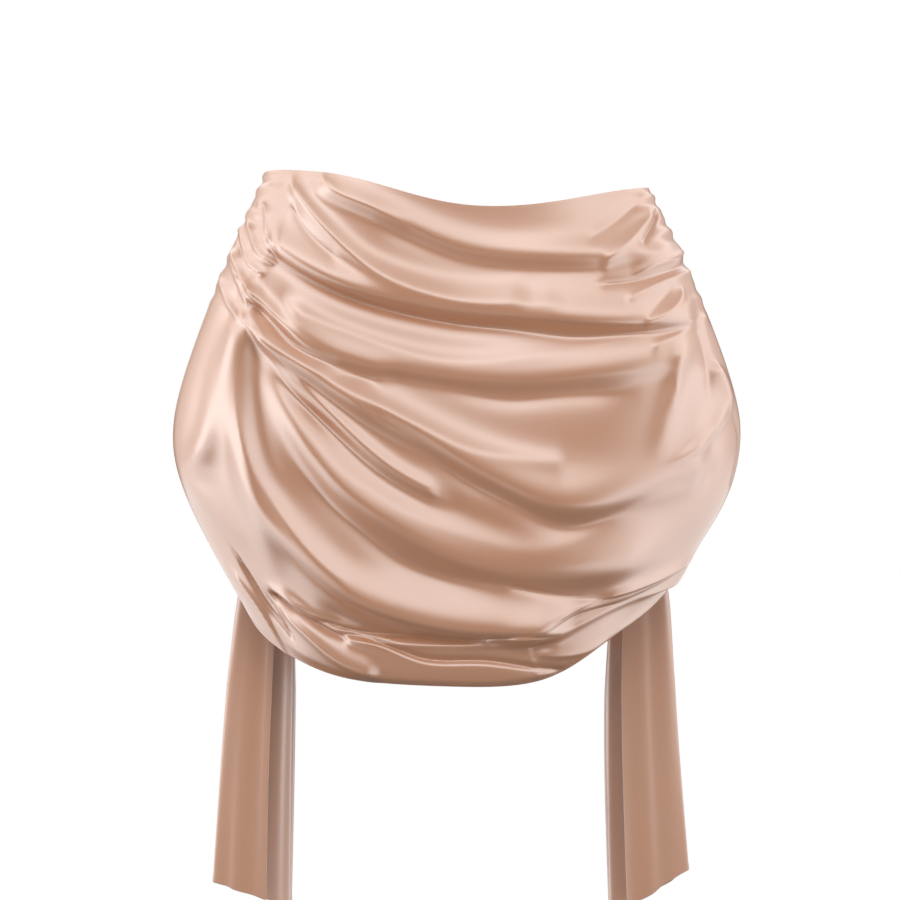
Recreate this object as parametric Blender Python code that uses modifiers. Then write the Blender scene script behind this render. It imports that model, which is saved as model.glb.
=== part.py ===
# Evening stole: one wide satin cloth, worn behind the back and over both forearms.
# Lengths in the tables are millimetres; the finished model is in metres, +Z up.
# +X is the wearer's left, +Y is behind the wearer.
# The origin lies midway between the two elbow crooks, where the arms hold the cloth.
#
# Every point of the cloth has two coordinates. "Along" runs from the end of the right
# tail (negative) over the middle of the back (0) to the end of the left tail (positive).
# "Share" runs across the cloth, from its upper edge (0) to its lower edge (1).

import math
from collections import namedtuple

import bmesh
import bpy
import numpy as np

MILLIMETRE = 0.001

# The cloth
CLOTH_WALL = 1.8
SEAM_GAP = 0.55
SEAM_STRIP = 3.0
TAIL_END = 1125.0

# Rows of points across the cloth, counted from its upper edge, and the shares at which
# these lie. They are closest together in the gathered upper part.
ROWS = 52
ROW_MARKS = (0, 24, 42, 52)
ROW_MARK_SHARES = (0.0, 0.36, 0.80, 1.0)

# Where the cloth is divided, and how far apart its sections of points lie
BACK_END = 250.0
BACK_COLUMNS = 25
WRAP_COLUMNS = (250, 262, 276, 290, 306, 325, 345, 370, 397, 425, 447, 468, 489, 512, 534, 558, 585)
TAIL_COLUMNS = (585, 606, 632, 670, 715, 800, 930, 1125)

# Pleats that gather the cloth over the forearm and hang open in the tail
PLEAT_LEGS = 7
PLEAT_SHARPNESS = 0.93
PLEAT_UNEVENNESS = 0.45
PLEAT_UNEVEN_TURNS = 1.3
LEFT_PLEAT_START = -0.55
RIGHT_PLEAT_START = -0.75
LEFT_PLEAT_SCALE = 1.0
RIGHT_PLEAT_SCALE = 1.03

# A tail's end rises where its pleats swing outwards
LEFT_END_LIFT = 0.30
RIGHT_END_LIFT = 0.60
END_LIFT_START = 760.0

# Steps for slopes worked out by differences
ALONG_STEP = 0.5
SHARE_STEP = 0.001

SATIN_COLOUR = (0.60, 0.39, 0.27, 1.0)
SATIN_ROUGHNESS = 0.34
SATIN_METALLIC = 0.15

# Shares at which the sections below give points, and how much of each section's upper
# and lower tilt reaches them
SECTION_SHARES = (0.0, 0.2, 0.4, 0.6, 0.8, 1.0)
UPPER_TILT_REACH = (1.0, 0.45, 0.1, 0.0, 0.0, 0.0)
LOWER_TILT_REACH = (0.0, 0.0, 0.0, 0.0, 0.15, 1.0)

# Sections across the cloth on the left side, each with a point for every share above.
# The upper edge sits higher on the left than on the right by twice the upper tilt, the
# lower edge lower by twice the lower tilt. The right side lies further in by inward.
Section = namedtuple("Section", "name along upper_tilt lower_tilt inward outward back up")
SECTIONS = (
    Section("middle of the back", 0, 0, 0, 0,
            (0, 0, 0, 0, 0, 0),
            (100, 112, 124, 134, 130, 106),
            (259, 150, 40, -72, -185, -292)),
    Section("beside the spine", 118, 12, 1, 0,
            (100, 112, 118, 118, 110, 95),
            (98, 114, 126, 137, 130, 104),
            (272, 167, 51, -65, -180, -286)),
    Section("rear of the arm", 240, 12, 14, 0,
            (180, 212, 236, 242, 215, 175),
            (72, 98, 108, 110, 100, 82),
            (286, 185, 75, -40, -150, -253)),
    Section("outer side of the arm", 355, 7, 17, 0,
            (219, 260, 302, 327, 298, 244),
            (15, 32, 38, 38, 30, 28),
            (285, 200, 100, -10, -105, -185)),
    Section("front of the arm", 425, 3, 8, 0,
            (195, 243, 288, 314, 292, 250),
            (-40, -27, -25, -25, -30, -42),
            (243, 174, 92, 8, -65, -122)),
    Section("above the forearm", 464, 1, 3, 0,
            (216, 260, 291, 304, 288, 253),
            (-50, -42, -46, -56, -76, -94),
            (174, 142, 84, 22, -35, -76)),
    Section("outer side of the forearm", 500, 0, 0, 0,
            (236, 265, 281, 282, 268, 246),
            (-50, -60, -76, -98, -126, -150),
            (108, 94, 64, 32, 0, -26)),
    Section("top of the forearm", 540, 0, 0, 0,
            (243, 240, 236, 232, 226, 219),
            (-42, -66, -90, -115, -140, -165),
            (44, 41, 36, 29, 20, 9)),
    Section("inner top of the forearm", 570, 0, 0, 0,
            (222, 218, 213, 208, 203, 197),
            (-36, -62, -88, -113, -138, -163),
            (18, 16, 13, 7, 0, -9)),
    Section("inner side of the forearm", 612, 0, 0, 0,
            (208, 204, 200, 196, 192, 188),
            (-30, -56, -82, -108, -134, -160),
            (-26, -30, -35, -40, -44, -48)),
    Section("upper tail", 715, 0, 0, 4,
            (214, 213, 212, 211, 210, 210),
            (-22, -50, -77, -105, -132, -160),
            (-120, -124, -128, -132, -136, -140)),
    Section("middle of the tail", 895, 0, 0, 15,
            (230, 230, 229, 229, 228, 228),
            (-20, -49, -77, -106, -134, -163),
            (-300, -300, -300, -300, -300, -300)),
    Section("end of the tail", 1125, 0, 0, 16,
            (240, 240, 240, 240, 240, 240),
            (-20, -49, -78, -107, -136, -165),
            (-540, -540, -540, -540, -540, -540)),
)

# How far the pleats stand out on each side of the section line
Gather = namedtuple("Gather", "along depth")
GATHERS = (
    Gather(355, 0),
    Gather(425, 2.5),
    Gather(500, 4.5),
    Gather(540, 8),
    Gather(580, 13),
    Gather(612, 18),
    Gather(660, 24),
    Gather(715, 26),
    Gather(800, 33),
    Gather(895, 38),
    Gather(1125, 43),
)

# Folds that run along the cloth, behind the back. Each follows a curve through its own
# points, from left to right, and stands out by rise. Above its crest it falls away over
# the distance above, below its crest over the distance below. Each of these has a value
# for the left end and one for the right end. Fade is the length of its tapered ends.
Swag = namedtuple("Swag", "name along share rise above below fade")
SWAGS = (
    Swag("collar swag", (195, 78, -16, -135, -295), (0.032, 0.060, 0.094, 0.132, 0.168),
         (6, 6), (18, 24), (10, 16), 50),
    Swag("shoulder line", (248, 169, 102, 32, -76), (0.036, 0.116, 0.170, 0.188, 0.202),
         (4.5, 3), (12, 16), (10, 14), 30),
    Swag("upper swag", (245, 141, 43, -61, -173, -298), (0.162, 0.210, 0.216, 0.234, 0.276, 0.324),
         (12, 9), (22, 26), (10, 13), 30),
    Swag("second swag", (198, 145, 66, -27, -114, -191, -283),
         (0.292, 0.332, 0.352, 0.362, 0.376, 0.382, 0.386),
         (9, 7), (16, 24), (12, 18), 35),
    Swag("pocket fold", (256, 218, 181, 134, 80), (0.266, 0.302, 0.338, 0.366, 0.376),
         (9, 3), (10, 14), (10, 14), 30),
    Swag("bright swag", (237, 184, 112, 47, -27, -108, -190, -282),
         (0.328, 0.372, 0.432, 0.482, 0.550, 0.620, 0.638, 0.630),
         (13, 10), (13, 40), (10, 22), 25),
    Swag("narrow fold", (254, 194, 146, 90, 19), (0.328, 0.406, 0.462, 0.542, 0.604),
         (7, 5), (10, 12), (10, 10), 30),
    Swag("lower swag", (205, 152, 77, 0, -107, -249), (0.440, 0.572, 0.662, 0.728, 0.770, 0.794),
         (12, 9), (18, 34), (17, 22), 80),
    Swag("cowl", (245, 231, 200, 131, 20, -130), (0.560, 0.634, 0.696, 0.796, 0.860, 0.880),
         (15, 6), (24, 34), (14, 14), 70),
    Swag("band crease", (173, 115, 35, -120), (0.866, 0.882, 0.894, 0.916),
         (-4.5, -5), (11, 11), (11, 11), 40),
    Swag("cowl lip", (-60, -129, -207, -344), (0.905, 0.896, 0.884, 0.955),
         (5, 10), (20, 34), (10, 10), 40),
    Swag("band ridge", (229, 172, 113), (0.866, 0.936, 0.968),
         (6, 4), (12, 12), (12, 12), 30),
)

# Hollows beside those folds, in the same columns
HOLLOWS = (
    Swag("under the upper swag", (244, 140, 44, -62, -208, -308),
         (0.172, 0.230, 0.243, 0.266, 0.313, 0.345), (-5, -4), (9, 14), (13, 18), 22),
    Swag("pocket", (246, 194, 110), (0.283, 0.335, 0.388), (-4, -3), (8, 9), (10, 10), 14),
    Swag("under the narrow fold", (250, 186, 92, -40), (0.342, 0.434, 0.557, 0.660),
         (-5, -3), (9, 14), (14, 18), 16),
    Swag("under the bright swag", (46, -52, -110, -198, -290), (0.490, 0.608, 0.670, 0.657, 0.642),
         (-3, -4), (18, 22), (18, 22), 40),
    Swag("under the lower swag", (178, 116, 38, -52, -202), (0.570, 0.675, 0.758, 0.787, 0.860),
         (-4, -3), (18, 20), (18, 16), 35),
    Swag("under the cowl", (250, 212, 124, -60), (0.570, 0.738, 0.835, 0.888),
         (-4, -3), (12, 12), (12, 12), 35),
    Swag("under the cowl lip", (-120, -158, -200, -256, -318), (0.878, 0.872, 0.877, 0.890, 0.898),
         (-6, -4), (9, 9), (16, 12), 16),
)

# Small gathers round the two upper arms, in the same columns
ARM_GATHERS = (
    Swag("first left gather", (335, 298, 270, 240), (0.118, 0.143, 0.177, 0.190),
         (4, 3), (9, 9), (8, 8), 12),
    Swag("second left gather", (348, 308, 280, 254), (0.180, 0.210, 0.240, 0.256),
         (4, 3), (9, 9), (8, 8), 12),
    Swag("third left gather", (352, 310, 290, 262), (0.236, 0.270, 0.297, 0.320),
         (4, 3), (9, 9), (8, 8), 12),
    Swag("first right gather", (-188, -238, -292), (0.165, 0.120, 0.076),
         (3, 3), (10, 9), (10, 9), 16),
    Swag("second right gather", (-236, -264, -292, -345), (0.196, 0.190, 0.188, 0.180),
         (3, 6), (12, 13), (8, 7), 14),
    Swag("third right gather", (-210, -254, -292, -345), (0.244, 0.236, 0.236, 0.240),
         (3, 4), (9, 8), (10, 10), 16),
    Swag("fourth right gather", (-230, -280, -340), (0.352, 0.344, 0.334),
         (3, 3), (9, 9), (12, 12), 14),
)

# Folds that run across the cloth, down the arm. Here above is the side towards the left
# tail and below the side towards the right one, the first of two values is for the lower
# end of the fold, and fade is a share of the cloth's width.
ARM_FOLDS = (
    Swag("left arm edge", (268, 279, 285, 306), (0.326, 0.442, 0.536, 0.624),
         (5, 5), (16, 16), (16, 16), 0.05),
    Swag("left elbow swell", (322, 303, 280), (0.634, 0.690, 0.750),
         (5, 5), (22, 22), (22, 22), 0.05),
    Swag("right arm edge", (-265, -244, -229), (0.376, 0.470, 0.558),
         (5, 4), (14, 14), (14, 14), 0.05),
    Swag("right arm gather", (-310, -321, -295, -254), (0.438, 0.500, 0.550, 0.590),
         (4, 5), (16, 16), (14, 14), 0.04),
)


def spline_weights(knots, places):
    """Weights that give a natural cubic spline through values at the knots."""
    knots = np.asarray(knots, dtype=float)
    gaps = np.diff(knots)
    count = len(knots)
    bend_side = np.eye(count)
    value_side = np.zeros((count, count))
    for knot in range(1, count - 1):
        before = gaps[knot - 1]
        after = gaps[knot]
        bend_side[knot, knot - 1:knot + 2] = (before, 2 * (before + after), after)
        value_side[knot, knot - 1:knot + 2] = (6 / before, -6 / before - 6 / after, 6 / after)
    bends = np.linalg.solve(bend_side, value_side)
    places = np.asarray(places, dtype=float)
    first = np.clip(np.searchsorted(knots, places, side="right") - 1, 0, count - 2)
    gap = gaps[first][:, None]
    done = places[:, None] - knots[first][:, None]
    left = gap - done
    values = np.eye(count)
    return (
        values[first] * left / gap
        + values[first + 1] * done / gap
        + bends[first] * (left ** 3 / gap - gap * left) / 6
        + bends[first + 1] * (done ** 3 / gap - gap * done) / 6
    )


def smooth_ramp(value):
    """0 below 0, 1 above 1, and a smooth rise between."""
    held = np.clip(value, 0.0, 1.0)
    return held * held * (3.0 - 2.0 * held)


def section_points():
    """Along values and points of every section, from the right tail to the left one."""
    alongs = []
    points = []
    for side in (-1, 1):
        for section in SECTIONS:
            if side == -1 and section.along == 0:
                continue
            inward = section.inward if side == -1 else 0.0
            across = side * (np.array(section.outward, dtype=float) - inward)
            level = np.array(section.up, dtype=float)
            level += side * section.upper_tilt * np.array(UPPER_TILT_REACH)
            level -= side * section.lower_tilt * np.array(LOWER_TILT_REACH)
            alongs.append(side * section.along)
            points.append((across, np.array(section.back, dtype=float), level))
    order = np.argsort(alongs)
    return np.array(alongs, dtype=float)[order], np.array(points)[order]


SECTION_ALONGS, SECTION_GRID = section_points()


def smooth_cloth(along, share):
    """Points of the cloth without its folds: splines along it and across it."""
    along_weights = spline_weights(SECTION_ALONGS, along)
    share_weights = spline_weights(SECTION_SHARES, share)
    return np.einsum("ni,icj,nj->nc", along_weights, SECTION_GRID, share_weights)


def cloth_faces_out(along, share):
    """Unit directions out of the cloth's face, from slopes along it and across it."""
    slope_along = smooth_cloth(along + ALONG_STEP, share) - smooth_cloth(along - ALONG_STEP, share)
    slope_across = smooth_cloth(along, share + SHARE_STEP) - smooth_cloth(along, share - SHARE_STEP)
    out = np.cross(slope_along, slope_across)
    return out / np.linalg.norm(out, axis=1)[:, None]


def row_shares(rows):
    """Shares at which rows of points lie, counted from the upper edge."""
    return np.interp(rows, ROW_MARKS, ROW_MARK_SHARES)


def width_table():
    """Width of the cloth, upper edge to lower edge, at each section."""
    shares = row_shares(np.arange(ROWS + 1))
    widths = []
    for along in SECTION_ALONGS:
        points = smooth_cloth(np.full(ROWS + 1, along), shares)
        widths.append(np.linalg.norm(np.diff(points, axis=0), axis=1).sum())
    return np.array(widths)


SECTION_WIDTHS = width_table()


def fold_height(place, distance, start, end, row):
    """Height of one fold: a bell on each side of its crest, tapered at its two ends."""
    part = np.clip((place - start) / (end - start), 0, 1)
    rise = np.interp(part, (0, 1), (row.rise[1], row.rise[0]))
    above = np.interp(part, (0, 1), (row.above[1], row.above[0]))
    below = np.interp(part, (0, 1), (row.below[1], row.below[0]))
    side = np.where(distance > 0, above, below)
    ends = smooth_ramp((place - start) / row.fade + 0.5) * smooth_ramp((end - place) / row.fade + 0.5)
    return rise * np.exp(-(distance / side) ** 2) * ends


def swag_height(row, along, share, width):
    """A fold along the cloth: the distance is measured up from its crest."""
    knots = np.array(row.along[::-1] if row.along[0] > row.along[-1] else row.along, dtype=float)
    levels = np.array(row.share[::-1] if row.along[0] > row.along[-1] else row.share)
    held = np.clip(along, knots[0], knots[-1])
    crest = spline_weights(knots, held) @ levels
    ahead = spline_weights(knots, np.clip(held + ALONG_STEP, knots[0], knots[-1])) @ levels
    behind = spline_weights(knots, np.clip(held - ALONG_STEP, knots[0], knots[-1])) @ levels
    slope = (ahead - behind) * width / (2 * ALONG_STEP)
    distance = (crest - share) * width / np.sqrt(1 + slope ** 2)
    return fold_height(along, distance, knots[0], knots[-1], row)


def arm_fold_height(row, along, share):
    """A fold across the cloth: the distance is measured along from its crest."""
    held = np.clip(share, row.share[0], row.share[-1])
    crest = spline_weights(row.share, held) @ np.array(row.along, dtype=float)
    return fold_height(share, along - crest, row.share[0], row.share[-1], row)


def pleat_wave(along, share):
    """Rounded zigzag across the cloth, one leg for each half turn, from -1 to 1."""
    start = np.where(along > 0, LEFT_PLEAT_START, RIGHT_PLEAT_START)
    uneven = PLEAT_UNEVENNESS * np.sin(2 * math.pi * PLEAT_UNEVEN_TURNS * share)
    turn = PLEAT_LEGS * math.pi * share + start + uneven
    return np.arcsin(PLEAT_SHARPNESS * np.sin(turn)) / math.asin(PLEAT_SHARPNESS)


def cloth_points(along, share):
    """Points of the finished cloth: the smooth one, moved out by its folds and pleats."""
    points = smooth_cloth(along, share)
    out = cloth_faces_out(along, share)
    width = np.interp(along, SECTION_ALONGS, SECTION_WIDTHS)
    height = np.zeros(len(points))
    for row in SWAGS + HOLLOWS + ARM_GATHERS:
        height += swag_height(row, along, share, width)
    for row in ARM_FOLDS:
        height += arm_fold_height(row, along, share)
    depth = np.interp(np.abs(along), [row.along for row in GATHERS], [row.depth for row in GATHERS])
    depth *= np.where(along > 0, LEFT_PLEAT_SCALE, RIGHT_PLEAT_SCALE)
    pleat = depth * pleat_wave(along, share)
    points += out * (height - pleat)[:, None]
    lift = np.where(along > 0, LEFT_END_LIFT, RIGHT_END_LIFT)
    points[:, 2] += lift * pleat * smooth_ramp((np.abs(along) - END_LIFT_START) / (TAIL_END - END_LIFT_START))
    return points


def seam_shift(along, share, side):
    """Moves a cut edge back by half the seam gap, measured along the cloth."""
    run = cloth_points(along + ALONG_STEP, share) - cloth_points(along - ALONG_STEP, share)
    stretch = np.linalg.norm(run, axis=1) / (2 * ALONG_STEP)
    return along + side * SEAM_GAP / 2 / stretch


def satin(name):
    material = bpy.data.materials.new(name)
    material.use_nodes = True
    shader = material.node_tree.nodes["Principled BSDF"]
    shader.inputs["Base Color"].default_value = SATIN_COLOUR
    shader.inputs["Roughness"].default_value = SATIN_ROUGHNESS
    shader.inputs["Metallic"].default_value = SATIN_METALLIC
    return material


def cloth_piece(name, columns, collection, cut_start, cut_end):
    """One stretch of cloth: a grid laid on the cloth's points, given its wall by Solidify.

    A narrow strip beside each cut edge gives both sides of a seam the same slope there.
    """
    columns = list(columns)
    if cut_start:
        columns.insert(1, columns[0] + SEAM_STRIP)
    if cut_end:
        columns.insert(-1, columns[-1] - SEAM_STRIP)
    count = len(columns) - 1
    form = bmesh.new()
    bmesh.ops.create_grid(form, x_segments=count, y_segments=ROWS, size=1.0)
    flat = np.array([vertex.co[:] for vertex in form.verts])
    column = np.rint((flat[:, 0] + 1) / 2 * count)
    along = np.interp(column, np.arange(count + 1), columns)
    share = row_shares((1 - flat[:, 1]) / 2 * ROWS)
    if cut_start:
        along = np.where(column == 0, seam_shift(along, share, 1), along)
    if cut_end:
        along = np.where(column == count, seam_shift(along, share, -1), along)
    points = cloth_points(along, share) * MILLIMETRE
    for vertex, point in zip(form.verts, points):
        vertex.co = point
    mesh = bpy.data.meshes.new(name)
    form.to_mesh(mesh)
    form.free()
    mesh.shade_smooth()
    mesh.materials.append(satin(name + "_satin"))
    piece = bpy.data.objects.new(name, mesh)
    collection.objects.link(piece)
    wall = piece.modifiers.new("cloth wall", "SOLIDIFY")
    wall.thickness = CLOTH_WALL * MILLIMETRE
    wall.offset = 0.0
    return piece


def mirrored(columns):
    return [-value for value in reversed(columns)]


def build_stole():
    for old in list(bpy.data.objects):
        bpy.data.objects.remove(old, do_unlink=True)
    collection = bpy.data.collections.new("evening_stole")
    bpy.context.scene.collection.children.link(collection)
    back_columns = np.linspace(-BACK_END, BACK_END, BACK_COLUMNS + 1)
    cloth_piece("back_drape", back_columns, collection, True, True)
    cloth_piece("left_arm_wrap", WRAP_COLUMNS, collection, True, True)
    cloth_piece("right_arm_wrap", mirrored(WRAP_COLUMNS), collection, True, True)
    cloth_piece("left_tail", TAIL_COLUMNS, collection, True, False)
    cloth_piece("right_tail", mirrored(TAIL_COLUMNS), collection, False, True)


build_stole()
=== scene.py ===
# Evening stole, worn off the shoulder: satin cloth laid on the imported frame.
# Tables are in millimetres, meshes in metres; +Z is up, +Y the back of the stole, +X its left as worn.
# A point of the cloth is told by two numbers: along runs from the right tail's end (negative) over
# the middle of the back (0) to the left tail's end, share from the upper edge (0) to the lower (1).
import math
import bpy
import numpy as np
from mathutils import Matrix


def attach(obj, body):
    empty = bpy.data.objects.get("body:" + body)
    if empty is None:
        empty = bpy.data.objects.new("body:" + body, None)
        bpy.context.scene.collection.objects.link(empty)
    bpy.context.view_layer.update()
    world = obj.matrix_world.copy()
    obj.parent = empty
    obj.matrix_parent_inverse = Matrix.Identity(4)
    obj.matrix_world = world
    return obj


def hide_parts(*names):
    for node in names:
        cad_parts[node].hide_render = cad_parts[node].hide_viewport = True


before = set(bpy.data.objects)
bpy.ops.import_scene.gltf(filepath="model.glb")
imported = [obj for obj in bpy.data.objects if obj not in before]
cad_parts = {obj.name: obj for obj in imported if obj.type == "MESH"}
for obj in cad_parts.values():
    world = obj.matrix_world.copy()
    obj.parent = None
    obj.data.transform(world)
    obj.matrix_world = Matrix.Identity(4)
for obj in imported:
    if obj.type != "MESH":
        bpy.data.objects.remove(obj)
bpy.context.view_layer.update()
print("frame loaded:", sorted(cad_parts))

# camera: level, behind the stole, far off with a long lens; metres, the sensor in millimetres
cameraSet = {
    "aim": (0.008, 0.0, -0.023), "distance": 8.0, "viewWidth": 1.044, "sensor": 36.0, "farthest": 60.0,
}


def addCamera(s):
    data = bpy.data.cameras.new("camera")
    data.sensor_width = s["sensor"]
    data.lens = s["sensor"] * s["distance"] / s["viewWidth"]
    data.clip_end = s["farthest"]
    eye = bpy.data.objects.new("camera", data)
    eye.location = (s["aim"][0], s["aim"][1] + s["distance"], s["aim"][2])
    eye.rotation_euler = (math.radians(90), 0.0, math.radians(180))
    bpy.context.scene.collection.objects.link(eye)
    bpy.context.scene.camera = eye


addCamera(cameraSet)

# the cloth as a whole: its wall and hem, where its stretches end, its grid, and the small steps
# used for differences; cutWidth is the width before hemming, in metres
cloth = {
    "wall": 0.7, "width": 590.0, "cutWidth": 0.60,
    "hemWidth": 7.0, "hemExtra": 0.7, "hemSoft": 0.9, "rimBulge": 0.8,
    "backEnd": 250.0, "wrapEnd": 585.0, "tailEnd": 1125.0,
    "rows": (214, 74), "bandStart": 0.815, "backColumns": 156, "wrapColumns": 120, "tailColumns": 84,
    "hemRows": (0, 0.7, 2.0, 4.0, 5.8, 6.6, 7.2, 8.0, 9.6), "sideMargin": 12.0, "endMargin": 13.0,
    "step": 0.5, "shareStep": 0.001, "padStep": 0.8, "widthSamples": 60,
}
millimetre = 0.001
sharpFall = 9  # how steeply a sharp crease falls off beside its crest

# sections across the cloth: shares of their six points, and how far down or up each tilt reaches
sectionShares = (0.0, 0.2, 0.4, 0.6, 0.8, 1.0)
upperTiltReach = (1.0, 0.45, 0.1, 0.0, 0.0, 0.0)
lowerTiltReach = (0.0, 0.0, 0.0, 0.0, 0.15, 1.0)

# along, upper tilt, lower tilt, inward on the right, then outward, back and up at each share
sections = (
    (0, 0, 0, 0, (0, 0, 0, 0, 0, 0), (100, 112, 124, 134, 130, 106), (259, 150, 40, -72, -185, -292)),
    (118, 12, 1, 0, (100, 112, 118, 118, 110, 95), (98, 114, 126, 137, 130, 104),
     (272, 167, 51, -65, -180, -286)),
    (240, 12, 14, 0, (180, 212, 236, 242, 215, 175), (72, 98, 108, 110, 100, 82),
     (286, 185, 75, -40, -150, -253)),
    (355, 7, 17, 0, (219, 260, 302, 327, 298, 244), (15, 32, 38, 38, 30, 28),
     (285, 200, 100, -10, -105, -185)),
    (425, 3, 8, 0, (195, 243, 288, 314, 292, 250), (-40, -27, -25, -25, -30, -42),
     (243, 174, 92, 8, -65, -122)),
    (464, 1, 3, 0, (216, 260, 291, 304, 288, 253), (-50, -42, -46, -56, -76, -94),
     (174, 142, 84, 22, -35, -76)),
    (500, 0, 0, 0, (236, 265, 281, 282, 268, 246), (-50, -60, -76, -98, -126, -150),
     (108, 94, 64, 32, 0, -26)),
    (540, 0, 0, 0, (243, 240, 236, 232, 226, 219), (-42, -66, -90, -115, -140, -165),
     (44, 41, 36, 29, 20, 9)),
    (570, 0, 0, 0, (222, 218, 213, 208, 203, 197), (-36, -62, -88, -113, -138, -163),
     (18, 16, 13, 7, 0, -9)),
    (612, 0, 0, 0, (208, 204, 200, 196, 192, 188), (-30, -56, -82, -108, -134, -160),
     (-26, -30, -35, -40, -44, -48)),
    (715, 0, 0, 4, (214, 213, 212, 211, 210, 210), (-22, -45, -73, -102, -131, -160),
     (-120, -124, -128, -132, -136, -140)),
    (895, 0, 0, 15, (230, 230, 229, 229, 228, 228), (-20, -43, -73, -103, -133, -163),
     (-300, -300, -300, -300, -300, -300)),
    (1125, 0, 0, 16, (240, 240, 240, 240, 240, 240), (-20, -43, -74, -104, -135, -165),
     (-540, -540, -540, -540, -540, -540)),
)

# pleats at the ends of the wraps and in the tails: depth at each along, how the zigzag runs on the
# left (1) and the right (-1), and how much the tail's end follows it up and down
pleats = {
    "legs": 7, "sharpness": 0.93, "unevenness": 0.45, "unevenTurns": 1.3,
    "start": {1: -0.55, -1: -0.75}, "scale": {1: 1.0, -1: 1.03},
    "lift": {1: 0.30, -1: 0.60}, "liftStart": 760.0,
    "along": (355, 425, 500, 540, 580, 612, 660, 715, 800, 895, 1125),
    "depth": (0, 2.5, 4.5, 8, 13, 18, 24, 26, 33, 38, 43),
}

# folds along the cloth: name, along, share, rise, width above, width below, fade, roll
# (each pair gives the left and the right end; roll leans the crest down over its lower side)
swags = (
    ("collar swag", (195, 78, -16, -135, -295), (0.032, 0.060, 0.094, 0.132, 0.168),
     (6, 6), (18, 24), (10, 16), 50, 0),
    ("shoulder line", (248, 169, 102, 32, -76), (0.036, 0.116, 0.170, 0.188, 0.202),
     (4.5, 3), (12, 16), (10, 14), 30, 0),
    ("upper swag", (245, 141, 43, -61, -173, -298), (0.162, 0.210, 0.216, 0.234, 0.276, 0.324),
     (12, 9), (22, 26), (10, 13), 30, 5),
    ("second swag", (198, 145, 66, -27, -114, -191, -283),
     (0.292, 0.332, 0.352, 0.362, 0.376, 0.382, 0.386), (8, 6), (18, 26), (12, 18), 35, 2),
    ("pocket fold", (256, 218, 181, 134, 80), (0.266, 0.302, 0.338, 0.366, 0.376),
     (9, 3), (10, 14), (10, 14), 30, 2),
    ("bright swag", (237, 184, 112, 47, -27, -108, -190, -282),
     (0.328, 0.372, 0.432, 0.482, 0.550, 0.620, 0.638, 0.630), (13, 10), (13, 40), (10, 22), 25, 5),
    ("narrow fold", (246, 194, 146, 90, 19), (0.338, 0.406, 0.462, 0.542, 0.604),
     (7, 5), (10, 12), (10, 10), 40, 2),
    ("lower swag", (205, 152, 77, 0, -107, -249), (0.440, 0.572, 0.662, 0.728, 0.770, 0.794),
     (12, 9), (18, 34), (17, 22), 80, 2),
    ("cowl", (254, 246, 231, 203, 158, 80, 20, -130),
     (0.515, 0.570, 0.650, 0.718, 0.784, 0.838, 0.864, 0.884), (21, 17), (30, 32), (23, 11), 60, 3),
    ("band crease", (173, 115, 35, -120), (0.866, 0.882, 0.894, 0.916),
     (-4.5, -5), (11, 11), (11, 11), 40, 0),
    ("cowl lip", (-60, -129, -207, -344), (0.905, 0.896, 0.884, 0.955), (5, 10), (20, 34), (10, 10), 40, 3),
    ("band swell", (246, 150, 20, -120, -230), (0.968, 0.980, 0.984, 0.980, 0.962),
     (9, 8), (42, 40), (12, 12), 60, 0),
    ("band ridge", (229, 172, 113), (0.866, 0.936, 0.968), (6, 4), (12, 12), (12, 12), 30, 0),
)

# folds across the cloth, on the wraps: the same columns but roll, with fade in share; above is the
# side towards the left tail
armFolds = (
    ("left arm edge", (261, 272, 277, 298), (0.326, 0.442, 0.536, 0.624),
     (9, 7), (17, 20), (17, 20), 0.09),
    ("left elbow swell", (318, 303, 280), (0.610, 0.690, 0.750), (4, 4), (30, 30), (30, 30), 0.14),
    ("right arm edge", (-265, -244, -229), (0.376, 0.470, 0.558), (3.5, 3), (14, 14), (16, 16), 0.09),
    ("right arm gather", (-310, -321, -295, -254), (0.438, 0.500, 0.550, 0.590),
     (4, 5), (16, 16), (14, 14), 0.04),
)

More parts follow.
